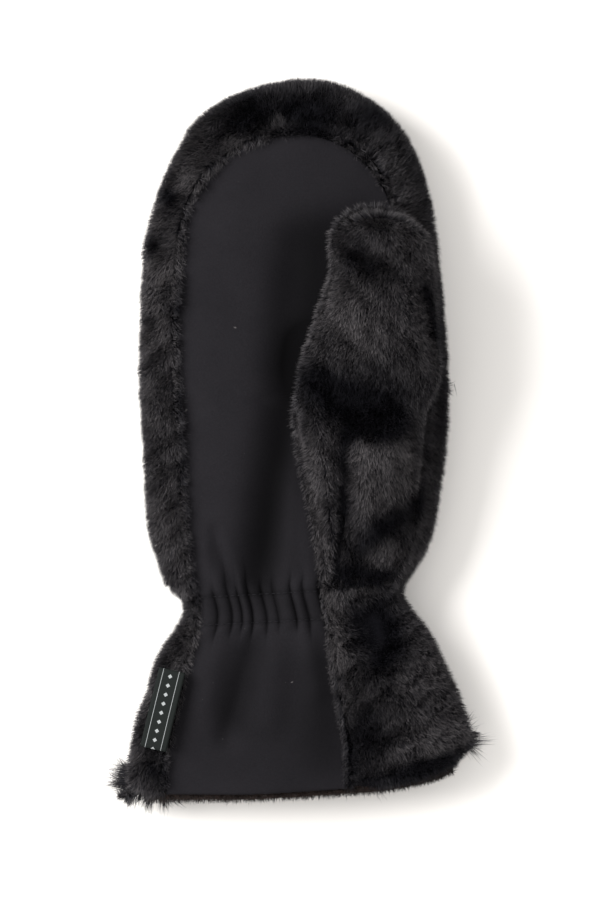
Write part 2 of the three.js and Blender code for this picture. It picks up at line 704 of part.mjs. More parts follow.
// The thumb's free part lies on the hand, its gusset is let into the hand's wall.
const handClear = (by) =>
  furSolid(by).subtract(prism(shrunk(outline, by), SIDE_SEAM_HEIGHT, TALL)).add(panelSolid(by));
function above(y) {
  const size = 2 * LENGTH;
  return solidOf(new THREE.BoxGeometry(size, size, size).translate(0, y + size / 2, 0));
}
const thumbForm = thumbSolid(0, gussetEndY - 6);
const held = thumbForm.add(furForm).intersect(gussetInner).subtract(cavity);
const free = thumbForm.intersect(above(crotchY - 2 * GAP)).subtract(handClear(GAP));
const thumbHollow = thumbSolid(PILE + WALL, gussetEndY + 4);
const floor = handClear(GAP + THUMB_FLOOR).intersect(above(crotchY - GAP)).subtract(gussetInner);
const thumb = largest(held.add(free).subtract(thumbHollow.subtract(floor)));

// The lining's tube inside the cuff.
function liningSolid(inset, from, to) {
  const layer = grown(CAVITY, -inset);
  const between = cavityRows.filter((y) => y > from + 1 && y < to - 1);
  const rings = [from, ...between, to].map((y) => ring(layer, y, cavityTurns, cavityRelief));
  return loft(rings);
}
const liningFrom = hemY - LINING_SHOWS;
const lining = liningSolid(LINING_GAP, liningFrom, hemY + LINING_DEPTH).subtract(
  liningSolid(LINING_GAP + LINING_WALL, liningFrom - 1, hemY + LINING_DEPTH + 1),
);

// Height of the fur's surface above a place on the left side of the palm.
function furTop(x, y) {
  const turns = spread(0, 0.5, 4 * GRID.fur.side);
  const points = ring(FUR, y, turns, furRelief(0));
  const after = points.findIndex((p) => p.x > x);
  const a = points[Math.max(0, after - 1)];
  const b = points[after];
  return mix(a.z, b.z, (x - a.x) / (b.x - a.x));
}

// The label: one folded strip sewn into the left seam of the cuff, lying on the fur.
function labelSolid() {
  const y0 = hemY + LABEL_SHARE * LENGTH - LABEL_LENGTH / 2;
  const { rows, columns } = GRID.label;
  const rings = [];
  for (let i = 0; i <= rows; i++) {
    const y = y0 + (LABEL_LENGTH * i) / rows;
    const s = sectionAt(y);
    const seam = s.left + s.rim - GAP;
    const lower = [];
    const upper = [];
    for (let j = 0; j <= columns; j++) {
      const x = seam - LABEL_WIDTH * (1 - j / columns);
      const z = furTop(x, y);
      lower.push(new THREE.Vector3(x, y, z - LABEL_WIDTH / 4));
      upper.push(new THREE.Vector3(x, y, z + 2 * GAP + LABEL_THICKNESS));
    }
    rings.push([...upper, ...lower.reverse()]);
  }
  return loft(rings).subtract(furSolid(GAP));
}

// Finishes.
const finish = (color, roughness) =>
  new THREE.MeshStandardMaterial({ color, roughness, metalness: 0 });
const softshell = finish(0x17181a, 0.72);
const furBlack = finish(0x1b1a1b, 0.95);
const plush = finish(0x3a322c, 0.98);
const woven = finish(0x111214, 0.6);

const group = new THREE.Group();
group.name = "fur_mitten";
function place(name, solid, material) {
  const made = solid.getMesh();
  const geometry = new THREE.BufferGeometry();
  geometry.setAttribute("position", new THREE.BufferAttribute(made.vertProperties, 3));
  geometry.setIndex(new THREE.BufferAttribute(made.triVerts, 1));
  geometry.computeVertexNormals();
  const mesh = new THREE.Mesh(geometry, material);
  mesh.name = name;
  group.add(mesh);
}
place("palm_panel", panel, softshell);
place("fur_back", fur, furBlack);
place("fur_thumb", thumb, furBlack);
place("cuff_lining", lining, plush);
place("side_label", labelSolid(), woven);

export default group;
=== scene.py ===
"""A fur mitten lying palm up on a white table, dressed for its photograph.

The solid model gives every shape and place. This script gives the pieces their cloth, pile and
stitches: the palm panel is remodelled with its gathers, the fur pieces get a dense pile of
strands on an undercoat, and the cuff gets its lining, label and tufts. Lengths are millimetres
here and turn to metres when a mesh is made. +Y runs to the fingertips, +X to the thumb.
"""

import logging
import math
from collections.abc import Callable, Sequence
from dataclasses import dataclass, field
from enum import Enum

import bpy
import numpy as np
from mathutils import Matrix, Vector
from mathutils.bvhtree import BVHTree


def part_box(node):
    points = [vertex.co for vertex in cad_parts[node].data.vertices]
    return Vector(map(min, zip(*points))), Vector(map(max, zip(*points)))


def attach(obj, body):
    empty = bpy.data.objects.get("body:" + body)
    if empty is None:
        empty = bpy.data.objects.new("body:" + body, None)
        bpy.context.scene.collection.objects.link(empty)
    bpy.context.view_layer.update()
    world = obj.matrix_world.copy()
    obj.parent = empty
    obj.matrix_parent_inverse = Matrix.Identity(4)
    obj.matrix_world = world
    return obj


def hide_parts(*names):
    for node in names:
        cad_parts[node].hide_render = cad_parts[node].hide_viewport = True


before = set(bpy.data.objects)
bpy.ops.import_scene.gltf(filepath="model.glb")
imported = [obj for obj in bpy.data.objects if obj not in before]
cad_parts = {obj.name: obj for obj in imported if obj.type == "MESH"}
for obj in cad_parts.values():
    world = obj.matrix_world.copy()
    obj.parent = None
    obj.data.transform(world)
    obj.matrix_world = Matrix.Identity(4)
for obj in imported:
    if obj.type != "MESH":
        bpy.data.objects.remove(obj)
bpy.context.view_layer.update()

logging.basicConfig(level=logging.INFO, format="%(message)s")
log = logging.getLogger("mitten")

MM = 0.001
SKY = 90.0  # height from which rays fall, above the whole mitten
DOWN = Vector((0, 0, -1))
SIDE_HEIGHT = 13.0  # height of the fur's sides, over which it turns towards the top
RGB = tuple[float, float, float]


class Zone(Enum):
    """Parts of the fur that are built as pieces of their own."""

    HAND = "hand"
    TIP = "tip"
    CUFF = "cuff"
    UNDER = "under"


# Shared helpers


def mesh_object(name: str, points: np.ndarray, faces: np.ndarray) -> bpy.types.Object:
    """Makes a mesh object from points in millimetres.

    Args:
        name: name of the object.
        points: array of n points.
        faces: array of m faces with the same number of corners each.

    Returns:
        The object, linked to the scene, with its origin at the row's origin.
    """
    mesh = bpy.data.meshes.new(name)
    corners = faces.shape[1]
    mesh.vertices.add(len(points))
    mesh.vertices.foreach_set("co", (points * MM).astype(np.float32).ravel())
    mesh.loops.add(faces.size)
    mesh.loops.foreach_set("vertex_index", faces.astype(np.int32).ravel())
    mesh.polygons.add(len(faces))
    mesh.polygons.foreach_set("loop_start", np.arange(0, faces.size, corners, dtype=np.int32))
    mesh.update(calc_edges=True)
    mesh.validate()
    made = bpy.data.objects.new(name, mesh)
    bpy.context.scene.collection.objects.link(made)
    return made


def finish_piece(obj: bpy.types.Object, material: bpy.types.Material) -> None:
    """Gives a piece its material and its body.

    Args:
        obj: the piece.
        material: its finish.
    """
    obj.data.materials.clear()
    obj.data.materials.append(material)
    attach(obj, "root")
    log.info("%s: %d faces", obj.name, len(obj.data.polygons))


def waves(points: np.ndarray, scale: float, seed: int, count: int = 7) -> np.ndarray:
    """Smooth noise of three components.

    Args:
        points: places in millimetres.
        scale: size of a patch in millimetres.
        seed: seed of the pattern.
        count: number of waves summed.

    Returns:
        An array as long as points, each component about -1 to 1.
    """
    rng = np.random.default_rng(seed)
    total = np.zeros_like(points)
    for _ in range(count):
        heading = rng.normal(size=3)
        heading *= 2 * math.pi / (scale * rng.uniform(0.7, 1.6) * np.linalg.norm(heading))
        phase = rng.uniform(0, 2 * math.pi, 3)
        total += np.sin((points @ heading)[:, None] + phase)
    return total / math.sqrt(count)


def unit(vectors: np.ndarray) -> np.ndarray:
    """Vectors scaled to length one."""
    return vectors / np.maximum(np.linalg.norm(vectors, axis=1), 1e-9)[:, None]


def keep_values(mesh: bpy.types.Mesh, name: str, values: np.ndarray) -> None:
    """Keeps one number at each point of a mesh."""
    layer = mesh.attributes.new(name, "FLOAT", "POINT")
    layer.data.foreach_set("value", values.astype(np.float32).ravel())


def copy_of(node: str, name: str) -> bpy.types.Object:
    """A copy of one of the solid model's nodes, linked to the scene."""
    made = bpy.data.objects.new(name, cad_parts[node].data.copy())
    bpy.context.scene.collection.objects.link(made)
    return made


def vertex_data(mesh: bpy.types.Mesh, name: str) -> np.ndarray:
    """A vector that a mesh keeps at each of its points, such as co or normal."""
    flat = np.empty(len(mesh.vertices) * 3, dtype=np.float32)
    mesh.vertices.foreach_get(name, flat)
    return flat.reshape(-1, 3)


def cad_tree(*nodes: str) -> BVHTree:
    """Search tree over some of the solid model's nodes, in millimetres."""
    points: list[Vector] = []
    faces: list[tuple[int, ...]] = []
    for node in nodes:
        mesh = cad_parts[node].data
        first = len(points)
        points += [v.co / MM for v in mesh.vertices]
        faces += [tuple(i + first for i in p.vertices) for p in mesh.polygons]
    return BVHTree.FromPolygons(points, faces)


def surface_under(tree: BVHTree, x: float, y: float) -> Vector | None:
    """Highest place of a tree's surface at x and y, if there is one."""
    return tree.ray_cast(Vector((x, y, SKY)), DOWN)[0]


# Finishes


@dataclass(frozen=True)
class Finish:
    """A procedural finish.

    Attributes:
        name: name of the material.
        color: base colour, linear.
        roughness: spread of its highlights.
        specular: strength of its highlights.
    """

    name: str
    color: RGB
    roughness: float
    specular: float = 0.5

    def material(self) -> tuple[bpy.types.Material, bpy.types.ShaderNodeTree, bpy.types.Node]:
        """Makes the bare material.

        Returns:
            The material, its node tree and its shader node.
        """
        made = bpy.data.materials.new(self.name)
        made.use_nodes = True
        tree = made.node_tree
        shader = tree.nodes["Principled BSDF"]
        shader.inputs["Base Color"].default_value = (*self.color, 1.0)
        shader.inputs["Roughness"].default_value = self.roughness
        shader.inputs["Specular IOR Level"].default_value = self.specular
        return made, tree, shader

    def build(self) -> bpy.types.Material:
        """Makes the plain finish."""
        return self.material()[0]


def object_coordinates(tree: bpy.types.ShaderNodeTree) -> bpy.types.NodeSocket:
    """Output socket of the object's own coordinates."""
    return tree.nodes.new("ShaderNodeTexCoord").outputs["Object"]


def noise(
    tree: bpy.types.ShaderNodeTree, where: bpy.types.NodeSocket, scale: float, detail: float
) -> bpy.types.NodeSocket:
    """Output socket of a noise texture at the given places."""
    node = tree.nodes.new("ShaderNodeTexNoise")
    node.inputs["Scale"].default_value = scale
    node.inputs["Detail"].default_value = detail
    tree.links.new(where, node.inputs["Vector"])
    return node.outputs["Fac"]


def raise_surface(
    tree: bpy.types.ShaderNodeTree,
    shader: bpy.types.Node,
    height: bpy.types.NodeSocket,
    strength: float,
    distance: float,
) -> None:
    """Lets a shader's surface rise and fall with a height, by some millimetres at most."""
    bump = tree.nodes.new("ShaderNodeBump")
    bump.inputs["Strength"].default_value = strength
    bump.inputs["Distance"].default_value = distance * MM
    tree.links.new(height, bump.inputs["Height"])
    tree.links.new(bump.outputs["Normal"], shader.inputs["Normal"])


def weave_group() -> bpy.types.ShaderNodeTree:
    """Node group of a fine brushed weave: a colour share and a height."""
    group = bpy.data.node_groups.new("brushed_weave", "ShaderNodeTree")
    face = group.interface
    face.new_socket("Vector", in_out="INPUT", socket_type="NodeSocketVector")
    face.new_socket("Shade", in_out="OUTPUT", socket_type="NodeSocketFloat")
    face.new_socket("Height", in_out="OUTPUT", socket_type="NodeSocketFloat")
    start = group.nodes.new("NodeGroupInput")
    end = group.nodes.new("NodeGroupOutput")
    fuzz = noise(group, start.outputs["Vector"], 1900, 2)
    cloud = noise(group, start.outputs["Vector"], 60, 4)
    both = group.nodes.new("ShaderNodeMix")
    both.inputs["Factor"].default_value = 0.65
    group.links.new(cloud, both.inputs["A"])
    group.links.new(fuzz, both.inputs["B"])
    group.links.new(both.outputs["Result"], end.inputs["Shade"])
    group.links.new(fuzz, end.inputs["Height"])
    return group


@dataclass(frozen=True)
class Softshell(Finish):
    """Brushed stretch cloth of the palm.

    Attributes:
        light: colour where the nap catches the light.
        dark: share of the colour left where the painted shade is deepest.
        lint: colour of the few light fibres on it.
    """

    light: RGB = (0.0124, 0.0115, 0.0132)
    dark: float = 0.18
    lint: RGB = (0.06, 0.056, 0.055)

    def build(self) -> bpy.types.Material:
        """Makes the cloth with its weave, lint and painted shade."""
        made, tree, shader = self.material()
        where = object_coordinates(tree)
        weave = tree.nodes.new("ShaderNodeGroup")
        weave.node_tree = weave_group()
        tree.links.new(where, weave.inputs["Vector"])
        ramp = tree.nodes.new("ShaderNodeValToRGB")
        ramp.color_ramp.elements[0].position = 0.32
        ramp.color_ramp.elements[0].color = (*self.color, 1)
        ramp.color_ramp.elements[1].position = 0.68
        ramp.color_ramp.elements[1].color = (*self.light, 1)
        tree.links.new(weave.outputs["Shade"], ramp.inputs["Fac"])
        # A point attribute holds painted shade: it darkens the cloth in the gathers' valleys, along the
        # casing and beside the thumb.
        painted_shade = tree.nodes.new("ShaderNodeAttribute")
        painted_shade.attribute_name = "painted_shade"
        share = tree.nodes.new("ShaderNodeMapRange")
        share.inputs["To Min"].default_value = self.dark
        tree.links.new(painted_shade.outputs["Fac"], share.inputs["Value"])
        shaded = tree.nodes.new("ShaderNodeVectorMath")
        shaded.operation = "SCALE"
        tree.links.new(ramp.outputs["Color"], shaded.inputs["Vector"])
        tree.links.new(share.outputs["Result"], shaded.inputs["Scale"])
        specks = noise(tree, where, 420, 1)
        few = tree.nodes.new("ShaderNodeMapRange")
        few.inputs["From Min"].default_value = 0.8
        few.inputs["From Max"].default_value = 0.84
        tree.links.new(specks, few.inputs["Value"])
        mixed = tree.nodes.new("ShaderNodeMix")
        mixed.data_type = "RGBA"
        mixed.inputs["B"].default_value = (*self.lint, 1)
        tree.links.new(few.outputs["Result"], mixed.inputs["Factor"])
        tree.links.new(shaded.outputs["Vector"], mixed.inputs["A"])
        tree.links.new(mixed.outputs["Result"], shader.inputs["Base Color"])
        raise_surface(tree, shader, weave.outputs["Height"], 0.25, 0.2)
        return made


@dataclass(frozen=True)
class Strands(Finish):
    """Glossy pile, dark at the root and lighter at the tip.

    Attributes:
        tip: colour of the lightest tips.
    """

    tip: RGB = (0.13, 0.1195, 0.1215)

    def build(self) -> bpy.types.Material:
        """Makes the pile's finish from the strand attribute: place along it and its lightness, which
        carries painted highlights and painted shade.
        """
        made, tree, shader = self.material()
        strand = tree.nodes.new("ShaderNodeAttribute")
        strand.attribute_name = "strand"
        parts = tree.nodes.new("ShaderNodeSeparateColor")
        tree.links.new(strand.outputs["Color"], parts.inputs["Color"])
        share = tree.nodes.new("ShaderNodeMath")
        share.operation = "MULTIPLY"
        tree.links.new(parts.outputs["Red"], share.inputs[0])
        tree.links.new(parts.outputs["Green"], share.inputs[1])
        ramp = tree.nodes.new("ShaderNodeValToRGB")
        ramp.color_ramp.elements[0].color = (*self.color, 1)
        ramp.color_ramp.elements[1].color = (*self.tip, 1)
        tree.links.new(share.outputs["Value"], ramp.inputs["Fac"])
        tree.links.new(ramp.outputs["Color"], shader.inputs["Base Color"])
        return made


@dataclass(frozen=True)
class Woven(Finish):
    """Satin label tape with light threads in a plain pattern along its middle.

    Attributes:
        thread: colour of the light threads.
        across: width of the label in millimetres.
        pitch: distance between the pattern's lozenges in millimetres.
    """

    thread: RGB = (0.24, 0.25, 0.25)
    across: float = 10.0
    pitch: float = 3.6

    def build(self) -> bpy.types.Material:
        """Makes the tape from its own UV: u along it and v across it, in millimetres."""
        made, tree, shader = self.material()
        uv = tree.nodes.new("ShaderNodeUVMap")
        uv.uv_map = "label"
        split = tree.nodes.new("ShaderNodeSeparateXYZ")
        tree.links.new(uv.outputs["UV"], split.inputs["Vector"])

        def math_node(kind: str, a: object, b: object = 0.0) -> bpy.types.NodeSocket:
            node = tree.nodes.new("ShaderNodeMath")
            node.operation = kind
            for place, value in enumerate((a, b)):
                if isinstance(value, float):
                    node.inputs[place].default_value = value
                else:
                    tree.links.new(value, node.inputs[place])
            return node.outputs["Value"]

        along = math_node("PINGPONG", split.outputs["X"], self.pitch / 2)
        off = math_node("ABSOLUTE", math_node("SUBTRACT", split.outputs["Y"], self.across / 2))
        inside = math_node("LESS_THAN", math_node("ADD", along, off), self.pitch * 0.24)
        edge = math_node("GREATER_THAN", off, self.across * 0.3)
        rim = math_node("MULTIPLY", edge, math_node("LESS_THAN", off, self.across * 0.318))
        light = math_node("MAXIMUM", inside, rim)
        mixed = tree.nodes.new("ShaderNodeMix")
        mixed.data_type = "RGBA"
        mixed.inputs["A"].default_value = (*self.color, 1)
        mixed.inputs["B"].default_value = (*self.thread, 1)
        tree.links.new(light, mixed.inputs["Factor"])
        tree.links.new(mixed.outputs["Result"], shader.inputs["Base Color"])
        ribs = tree.nodes.new("ShaderNodeTexWave")
        ribs.inputs["Scale"].default_value = 2.2
        ribs.bands_direction = "X"
        tree.links.new(uv.outputs["UV"], ribs.inputs["Vector"])
        raise_surface(tree, shader, ribs.outputs["Fac"], 0.3, 0.1)
        return made


# Pile


@dataclass(frozen=True)
class Pile:
    """How a patch of pile grows.

    Attributes:
        length: length of a strand.
        width: width of a strand at its root.
        density: strands on a square millimetre.
        lean: how far strands lean with the nap, against standing up.
        stray: how far single strands stray from their lock.
        roll: how far strands turn about their own line.
        lock: width of the small locks in which strands gather.
        seed: seed of the patch.
    """

    length: float = 4.1
    width: float = 0.34
    density: float = 11.5
    lean: float = 0.55
    stray: float = 0.14
    roll: float = 0.6
    lock: float = 0.6
    seed: int = 1


@dataclass
class Roots:
    """Places where strands grow.

    Attributes:
        points: roots in millimetres.
        normals: directions out of the backing.
    """

    points: np.ndarray
    normals: np.ndarray

    def where(self, keep: np.ndarray) -> "Roots":
        """The roots that a mask keeps."""
        return Roots(self.points[keep], self.normals[keep])


def scatter(obj: bpy.types.Object, density: float, seed: int) -> Roots:
    """Scatters roots evenly over a mesh.

    Args:
        obj: the undercoat's object.
        density: roots on a square millimetre.
        seed: seed of the scatter.

    Returns:
        The roots.
    """
    mesh = obj.data
    mesh.calc_loop_triangles()
    count = len(mesh.loop_triangles)
    corners = np.empty(count * 3, dtype=np.int32)
    mesh.loop_triangles.foreach_get("vertices", corners)
    tri = corners.reshape(-1, 3)
    p = vertex_data(mesh, "co")[tri].astype(float) / MM
    n = vertex_data(mesh, "normal")[tri].astype(float)
    area = np.linalg.norm(np.cross(p[:, 1] - p[:, 0], p[:, 2] - p[:, 0]), axis=1) / 2
    rng = np.random.default_rng(seed)
    total = int(area.sum() * density)
    pick = rng.choice(count, total, p=area / area.sum())
    a, b = rng.random(total), rng.random(total)
    flip = a + b > 1
    a[flip], b[flip] = 1 - a[flip], 1 - b[flip]
    weights = np.stack([1 - a - b, a, b], axis=1)[:, :, None]
    return Roots((p[pick] * weights).sum(1), unit((n[pick] * weights).sum(1)))


def grow(
    name: str,
    roots: Roots,
    nap: np.ndarray,
    pile: Pile,
    scale: np.ndarray | float = 1.0,
    tone: np.ndarray | float = 0.5,
) -> bpy.types.Object:
    """Grows tapering strands that gather in small locks.

    Args:
        name: name of the piece.
        roots: where the strands stand.
        nap: direction of the nap at each root.
        pile: how the pile grows.
        scale: share of the pile's length at each root.
        tone: lightness of the pile at each root, 0 to 1, with any painted highlights and shade in it.

    Returns:
        One mesh of all the strands, with the attribute strand.
    """
    rng = np.random.default_rng(pile.seed)
    count = len(roots.points)
    p, n, nap = roots.points, roots.normals, unit(nap)
    stretched = p - nap * (p * nap).sum(1)[:, None] * 0.5
    fine = waves(stretched, pile.lock * 1.9, pile.seed + 11)
    broad = waves(p, pile.lock * 14, pile.seed + 12)
    tone = np.broadcast_to(tone, count)
    lean = pile.lean * (0.45 + 1.1 * tone) * (1 + 0.25 * broad[:, 0])
    heading = n + lean[:, None] * nap
    heading = unit(heading + 0.13 * fine + 0.12 * broad + pile.stray * rng.normal(size=(count, 3)))
    length = pile.length * scale * rng.uniform(0.72, 1.08, count) * (1 + 0.09 * fine[:, 0])
    side = unit(np.cross(heading, n + pile.roll * rng.normal(size=(count, 3))))
    width = (pile.width * rng.uniform(0.75, 1.2, count) / 2)[:, None]
    verts = np.stack([p - side * width, p + side * width, p + heading * length[:, None]], axis=1)
    verts = verts.reshape(-1, 3)
    verts[:, 2] = np.maximum(verts[:, 2], 0.15)
    made = mesh_object(name, verts, np.arange(3 * count).reshape(-1, 3))
    shade = tone * (1 + 0.5 * fine[:, 1] + 0.5 * rng.normal(size=count))
    shade = np.clip(shade, 0.02, 1)
    color = np.zeros((count, 3, 4), dtype=np.float32)
    color[:, :, 0] = (0, 0, 1)
    color[:, :, 1] = shade[:, None]
    color[:, :, 3] = 1
    layer = made.data.color_attributes.new("strand", "FLOAT_COLOR", "POINT")
    layer.data.foreach_set("color", color.ravel())
    return made


@dataclass(frozen=True)
class Undercoat:
    """The backing with the pile's dense roots.

    Attributes:
        voxel: size of its mesh.
        sink: how far it lies under the pile's tips.
        smoothing: rounds of smoothing.
    """

    voxel: float = 1.7
    sink: float = 3.6
    smoothing: int = 5

    def tops(self, node: str, points: np.ndarray) -> np.ndarray:
        """Highest places of the pile, or of the panel beside it, that the undercoat keeps under."""
        pile, panel = cad_tree(node), cad_tree("palm_panel")
        most = np.full(len(points), SKY)
        for i in np.flatnonzero(points[:, 2] > SIDE_HEIGHT):
            hit = surface_under(pile, points[i, 0], points[i, 1])
            if hit is not None:
                most[i] = hit.z - self.sink
            hit = surface_under(panel, points[i, 0], points[i, 1])
            if hit is not None and points[i, 2] < hit.z + 4:
                most[i] = min(most[i], hit.z - 1.5)
        return most

    def build(
        self, node: str, inner: Callable[[np.ndarray, np.ndarray], np.ndarray]
    ) -> bpy.types.Object:
        """Makes the undercoat of a node.

        Args:
            node: the solid model's node.
            inner: gives which of some points and normals face into the hollow.

        Returns:
            The undercoat's object, with the attribute outer on its points.
        """
        made = copy_of(node, node + "_undercoat")
        bpy.ops.object.select_all(action="DESELECT")
        bpy.context.view_layer.objects.active = made
        made.select_set(True)
        remesh = made.modifiers.new("even", "REMESH")
        remesh.mode = "VOXEL"
        remesh.voxel_size = self.voxel * MM
        soft = made.modifiers.new("soft", "SMOOTH")
        soft.iterations = self.smoothing
        for name in ("even", "soft"):
            bpy.ops.object.modifier_apply(modifier=name)
        mesh = made.data
        points = vertex_data(mesh, "co").astype(float) / MM
        normals = vertex_data(mesh, "normal").astype(float)
        outside = 1.0 - inner(points, normals).astype(float)
        sunk = np.where(points[:, 2] < 4, self.sink * 0.4, self.sink)
        points -= normals * (outside * sunk)[:, None]
        points[:, 2] = np.minimum(points[:, 2], self.tops(node, points))
        mesh.vertices.foreach_set("co", (points * MM).astype(np.float32).ravel())
        mesh.update()
        keep_values(mesh, "outer", outside)
        return made


@dataclass(frozen=True)
class Fold:
    """One soft fold pressed into or raised out of the cloth or fur, or a soft patch of painted highlight
    or shade.

    Attributes:
        start: where it begins, x and y.
        end: where it ends.
        width: reach to either side.
        rise: height in its middle, negative for a valley; for a patch of painted highlight or shade, the
            change of lightness.
    """

    start: tuple[float, float]
    end: tuple[float, float]
    width: float
    rise: float

    def at(self, x: np.ndarray, y: np.ndarray) -> np.ndarray:
        """Height, or change of painted lightness, that the fold adds at some places."""
        a, b = np.array(self.start), np.array(self.end)
        run = b - a
        share = ((x - a[0]) * run[0] + (y - a[1]) * run[1]) / (run @ run)
        near = np.clip(share, 0, 1)
        off = np.hypot(x - a[0] - near * run[0], y - a[1] - near * run[1])
        fade = np.exp(-((np.maximum(0, np.abs(share - 0.5) - 0.35) / 0.3) ** 2))
        return self.rise * np.exp(-((off / self.width) ** 2)) * fade


def edge_hits(tree: BVHTree, y: float, low: float, high: float, step: float) -> tuple[float, float]:
    """Leftmost and rightmost x where a tree's surface lies under a line across the mitten."""
    xs = np.arange(low, high, step)
    hit = [surface_under(tree, x, y) is not None for x in xs]
    found = xs[np.array(hit)]
    return (float(found[0]), float(found[-1])) if len(found) else (math.nan, math.nan)


# How the panel's edges turn under: each step's reach outwards and its depth.
SKIRT = ((0.25, 0.3), (0.5, 1.0), (0.55, 2.2), (0.5, 4.0))
HEM_ROLL = ((0.6, 2.0), (0.9, 1.1), (0.7, 0.35))
PANEL_FLOOR = 16.0  # lower places are the solid panel's turned edge


@dataclass
class PalmPanel:
    """The smooth panel with its gathered wrist and its stitches.

    Attributes:
        columns: mesh columns across the panel.
        step: distance between mesh rows.
        casing: height of the elastic casing between its stitch rows.
        wrist: y of the casing's middle at the left seam.
        slant: how much higher the casing lies at the right seam.
        rib: height of the ribs.
        valleys: places of the valleys between ribs, as shares across the panel.
        folds: the broad folds.
        painted_shading: patches of shade painted into the cloth's colour, each with its depth as rise.
        stitch: length of a stitch.
        hem_turn: length at the hem that the turned edge takes up.
        dome: length at the tip over which the rows draw together.
        surface: the built grid's x, y and z, kept for what lies on the panel.
    """

    columns: int = 132
    step: float = 1.15
    casing: float = 11.0
    wrist: float = -66.6
    slant: float = 2.6
    rib: float = 2.2
    valleys: tuple[float, ...] = (0.0, 0.136, 0.253, 0.336, 0.42, 0.537, 0.633, 0.779, 0.879, 1.0)
    folds: tuple[Fold, ...] = (
        Fold((-15, -79), (-27, -117), 5.0, -2.6),
        Fold((-29, -80), (-36, -104), 5.0, 0.9),
        Fold((-7, -78), (-9, -112), 6.0, 1.3),
        Fold((5, -76), (9, -100), 4.0, 1.0),
        Fold((2, 80), (-14, -56), 9.0, -3.6),
        Fold((-2, -12), (-4, -50), 4.5, 1.6),
        Fold((-32, -34), (-25, -58), 2.6, -1.1),
        Fold((-36, -40), (-33, -58), 2.4, 0.7),
    )
    painted_shading: tuple[Fold, ...] = (
        Fold((9, 86), (5, 30), 13.0, -0.9),
        Fold((1, 40), (-14, -54), 8.0, -0.95),
        Fold((-16, -80), (-25, -112), 7.0, -0.45),
        Fold((12, -84), (14, -128), 11.0, -0.5),
        Fold((-30, -104), (10, -112), 28.0, -0.2),
        Fold((6, -10), (12, -56), 4.0, -0.6),
        Fold((-34, -66), (14, -64), 7.0, -0.3),
    )
    stitch: float = 1.9
    hem_turn: float = 5.5
    dome: float = 14.0
    surface: list[np.ndarray] = field(default_factory=list)

    def gathers(self, u: np.ndarray, y: np.ndarray) -> tuple[np.ndarray, np.ndarray]:
        """Height of the ribs at shares u across the panel, and how much shade is painted into their
        valleys.
        """
        marks = np.array(self.valleys)
        slot = np.clip(np.searchsorted(marks, u, side="right") - 1, 0, len(marks) - 2)
        share = (u - marks[slot]) / (marks[slot + 1] - marks[slot])
        tall = 0.75 + 0.25 * np.sin(slot * 2.1 + 0.6)
        bulge = np.sin(np.pi * np.clip(share, 0, 1)) ** 0.6 * tall
        middle = self.wrist + self.slant * u
        off = np.abs(y - middle) - self.casing / 2
        reach = np.where(y > middle, 4 + 7 * np.sin(slot * 1.7) ** 2, 3.5 + 4 * np.cos(slot * 2.3) ** 2)
        band = np.exp(-((np.maximum(0, off) / reach) ** 2) * 1.6)
        pinch = np.exp(-((off / 0.85) ** 2)) * 0.75
        height = self.rib * bulge * band - pinch * (0.4 + 0.6 * bulge)
        # Painted shade: darkest in each valley between ribs and at the pinched stitch lines.
        shade = band * np.exp(-((np.minimum(share, 1 - share) / 0.16) ** 2))
        return height, 0.34 * shade + 0.3 * pinch

    def outline(self, tree: BVHTree, u: np.ndarray) -> tuple[np.ndarray, np.ndarray]:
        """The panel's grid seen from above.

        Args:
            tree: the solid panel.
            u: places of the columns, as shares across the panel.

        Returns:
            Its x and its y.
        """
        box = [np.array(v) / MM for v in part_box("palm_panel")]
        low_y, high_y = float(box[0][1]), float(box[1][1]) - 0.15
        reach = high_y - low_y
        share = np.linspace(0, 1, int(reach / self.step))
        rows = low_y + self.hem_turn + (reach - self.hem_turn) * share
        top = rows > high_y - self.dome
        bend = np.sin(np.linspace(0.02, 1, top.sum()) * np.pi / 2)
        rows[top] = high_y - self.dome + self.dome * bend
        edges = np.array([edge_hits(tree, y, -60, 60, 0.25) for y in rows])
        edges[-1] = edges[-2].mean() + np.array([-0.4, 0.4])
        kernel = np.array([0.25, 0.5, 0.25])
        for side in (0, 1):
            for _ in range(3):
                edges[1:-1, side] = np.convolve(edges[:, side], kernel, "valid")
        x = edges[:, :1] + (edges[:, 1:] - edges[:, :1]) * u
        ys = np.arange(low_y - 0.5, low_y + 12, 0.25)
        hem = np.empty(len(u))
        for i, place in enumerate(np.clip(x[0], x[0, 0] + 0.6, x[0, -1] - 0.6)):
            hem[i] = ys[int(np.argmax([surface_under(tree, place, y) is not None for y in ys]))]
        drop = np.exp(-(((rows - rows[0]) / 22.0) ** 2))[:, None] * (hem - rows[0])[None, :]
        return x, rows[:, None] + drop

    def skirted(self) -> np.ndarray:
        """The surface's points with both sides turned down and the hem turned under."""
        x, y, z = self.surface
        left = [np.stack([x[:, 0] - a, y[:, 0], z[:, 0] - b], 1) for a, b in reversed(SKIRT)]
        right = [np.stack([x[:, -1] + a, y[:, -1], z[:, -1] - b], 1) for a, b in SKIRT]
        body = np.stack([x, y, z], 2)
        grid = np.concatenate([np.stack(left, 1), body, np.stack(right, 1)], 1)
        turned = grid[: len(HEM_ROLL)].copy()
        for row, (back, low) in enumerate(HEM_ROLL):
            turned[row, :, 1] = grid[0, :, 1] - back
            turned[row, :, 2] = grid[0, :, 2] - low
        return np.concatenate([turned, grid], 0)

